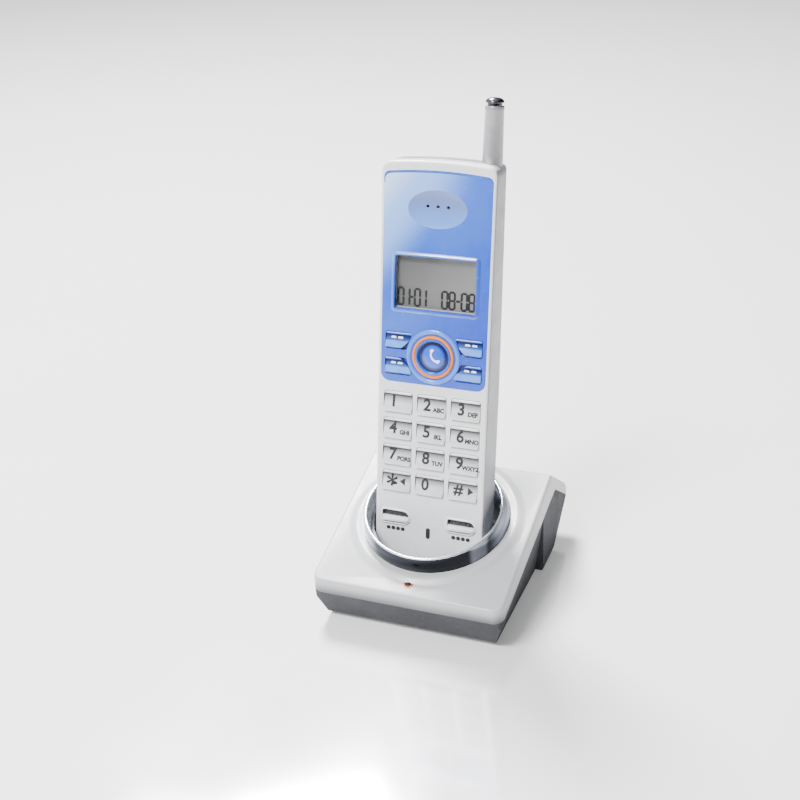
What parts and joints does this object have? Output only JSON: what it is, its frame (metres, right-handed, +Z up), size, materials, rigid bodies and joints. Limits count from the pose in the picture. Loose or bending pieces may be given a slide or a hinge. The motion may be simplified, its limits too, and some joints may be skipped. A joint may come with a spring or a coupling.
{
  "type": "cordless phone with charging cradle",
  "caption": "Cordless handset with antenna, display and keypad, standing in a sloping charging cradle with a bright ring.",
  "frame": {"origin": "on the ground under the middle of the object's box", "axes": "+Z up, the front with the keys faces -Y, +X to the right seen from the front"},
  "size_m": [0.0836, 0.1028, 0.2085],
  "materials": {
    "white_shell": "semi-gloss moulded",
    "grey_shell": "semi-gloss moulded",
    "chrome_trim": "polished",
    "dark_liner": "fine texture",
    "lamp_lens": "polished",
    "lamp_rim": "polished",
    "circuit_board": "solder mask",
    "contact_metal": "plated",
    "black_plastic": "matte",
    "foot_rubber": "matte",
    "screw_steel": "zinc plated",
    "blue_panel": "high gloss",
    "clear_window": "clear",
    "display_grey": "satin",
    "orange_trim": "satin metallic",
    "silicone": "matte",
    "key_grey": "gloss",
    "key_blue": "gloss",
    "battery_wrap": "shrink film",
    "antenna_grey": "satin",
    "antenna_metal": "dark polished"
  },
  "bodies": {
    "cradle": {"cradle_top_shell": "white_shell", "cradle_bottom_shell": "grey_shell", "chrome_ring": "chrome_trim", "pocket_liner": "dark_liner", "charge_lamp_lens": "lamp_lens", "charge_lamp_bezel": "lamp_rim", "cradle_board": "circuit_board", "contact_leaves": "contact_metal", "power_inlet": "black_plastic", "rubber_feet": "foot_rubber", "cradle_screws": "screw_steel"},
    "handset": {"handset_front_shell": "white_shell", "handset_back_shell": "grey_shell", "face_panel": "blue_panel", "display_window": "clear_window", "display_module": "display_grey", "talk_ring": "orange_trim", "earpiece_speaker": "black_plastic", "microphone": "black_plastic", "ringer": "black_plastic", "keypad_mat": "silicone", "main_board": "circuit_board", "battery_pack": "battery_wrap", "battery_terminals": "contact_metal", "contact_pads": "contact_metal", "handset_screws": "screw_steel", "antenna_sleeve": "antenna_grey", "antenna_clip": "contact_metal"},
    "key_1": {"key_1": "key_grey"},
    "key_2": {"key_2": "key_grey"},
    "key_3": {"key_3": "key_grey"},
    "key_4": {"key_4": "key_grey"},
    "key_5": {"key_5": "key_grey"},
    "key_6": {"key_6": "key_grey"},
    "key_7": {"key_7": "key_grey"},
    "key_8": {"key_8": "key_grey"},
    "key_9": {"key_9": "key_grey"},
    "key_star": {"key_star": "key_grey"},
    "key_0": {"key_0": "key_grey"},
    "key_hash": {"key_hash": "key_grey"},
    "soft_key_upper_left": {"soft_key_upper_left": "key_blue"},
    "soft_key_upper_right": {"soft_key_upper_right": "key_blue"},
    "soft_key_lower_left": {"soft_key_lower_left": "key_blue"},
    "soft_key_lower_right": {"soft_key_lower_right": "key_blue"},
    "function_key_left": {"function_key_left": "key_grey"},
    "function_key_right": {"function_key_right": "key_grey"},
    "talk_key": {"talk_key": "key_blue"},
    "antenna": {"antenna_rod": "antenna_metal", "antenna_knob": "antenna_metal"},
    "battery_door": {"battery_cover": "grey_shell"}
  },
  "joints": [
    {"name": "handset_lift", "type": "slide", "parent": "cradle", "child": "handset", "axis": [0, 0.1908, 0.9816], "range_m": [0, 0.06]},
    {"name": "key_1_press", "type": "slide", "parent": "handset", "child": "key_1", "axis": [0, 0.9816, -0.1908], "range_m": [0, 0.0008], "stiffness_N_per_m": 1200},
    {"name": "key_2_press", "type": "slide", "parent": "handset", "child": "key_2", "axis": [0, 0.9816, -0.1908], "range_m": [0, 0.0008], "stiffness_N_per_m": 1200},
    {"name": "key_3_press", "type": "slide", "parent": "handset", "child": "key_3", "axis": [0, 0.9816, -0.1908], "range_m": [0, 0.0008], "stiffness_N_per_m": 1200},
    {"name": "key_4_press", "type": "slide", "parent": "handset", "child": "key_4", "axis": [0, 0.9816, -0.1908], "range_m": [0, 0.0008], "stiffness_N_per_m": 1200},
    {"name": "key_5_press", "type": "slide", "parent": "handset", "child": "key_5", "axis": [0, 0.9816, -0.1908], "range_m": [0, 0.0008], "stiffness_N_per_m": 1200},
    {"name": "key_6_press", "type": "slide", "parent": "handset", "child": "key_6", "axis": [0, 0.9816, -0.1908], "range_m": [0, 0.0008], "stiffness_N_per_m": 1200},
    {"name": "key_7_press", "type": "slide", "parent": "handset", "child": "key_7", "axis": [0, 0.9816, -0.1908], "range_m": [0, 0.0008], "stiffness_N_per_m": 1200},
    {"name": "key_8_press", "type": "slide", "parent": "handset", "child": "key_8", "axis": [0, 0.9816, -0.1908], "range_m": [0, 0.0008], "stiffness_N_per_m": 1200},
    {"name": "key_9_press", "type": "slide", "parent": "handset", "child": "key_9", "axis": [0, 0.9816, -0.1908], "range_m": [0, 0.0008], "stiffness_N_per_m": 1200},
    {"name": "key_star_press", "type": "slide", "parent": "handset", "child": "key_star", "axis": [0, 0.9816, -0.1908], "range_m": [0, 0.0008], "stiffness_N_per_m": 1200},
    {"name": "key_0_press", "type": "slide", "parent": "handset", "child": "key_0", "axis": [0, 0.9816, -0.1908], "range_m": [0, 0.0008], "stiffness_N_per_m": 1200},
    {"name": "key_hash_press", "type": "slide", "parent": "handset", "child": "key_hash", "axis": [0, 0.9816, -0.1908], "range_m": [0, 0.0008], "stiffness_N_per_m": 1200},
    {"name": "soft_key_upper_left_press", "type": "slide", "parent": "handset", "child": "soft_key_upper_left", "axis": [0, 0.9816, -0.1908], "range_m": [0, 0.0008], "stiffness_N_per_m": 1200},
    {"name": "soft_key_upper_right_press", "type": "slide", "parent": "handset", "child": "soft_key_upper_right", "axis": [0, 0.9816, -0.1908], "range_m": [0, 0.0008], "stiffness_N_per_m": 1200},
    {"name": "soft_key_lower_left_press", "type": "slide", "parent": "handset", "child": "soft_key_lower_left", "axis": [0, 0.9816, -0.1908], "range_m": [0, 0.0008], "stiffness_N_per_m": 1200},
    {"name": "soft_key_lower_right_press", "type": "slide", "parent": "handset", "child": "soft_key_lower_right", "axis": [0, 0.9816, -0.1908], "range_m": [0, 0.0008], "stiffness_N_per_m": 1200},
    {"name": "function_key_left_press", "type": "slide", "parent": "handset", "child": "function_key_left", "axis": [0, 0.9816, -0.1908], "range_m": [0, 0.0008], "stiffness_N_per_m": 1200},
    {"name": "function_key_right_press", "type": "slide", "parent": "handset", "child": "function_key_right", "axis": [0, 0.9816, -0.1908], "range_m": [0, 0.0008], "stiffness_N_per_m": 1200},
    {"name": "talk_key_press", "type": "slide", "parent": "handset", "child": "talk_key", "axis": [0, 0.9816, -0.1908], "range_m": [0, 0.0008], "stiffness_N_per_m": 1200},
    {"name": "antenna_pull", "type": "slide", "parent": "handset", "child": "antenna", "axis": [0, 0.1908, 0.9816], "range_m": [0, 0.045]},
    {"name": "battery_door_off", "type": "slide", "parent": "handset", "child": "battery_door", "axis": [0, 0.9816, -0.1908], "range_m": [0, 0.03]}
  ]
}
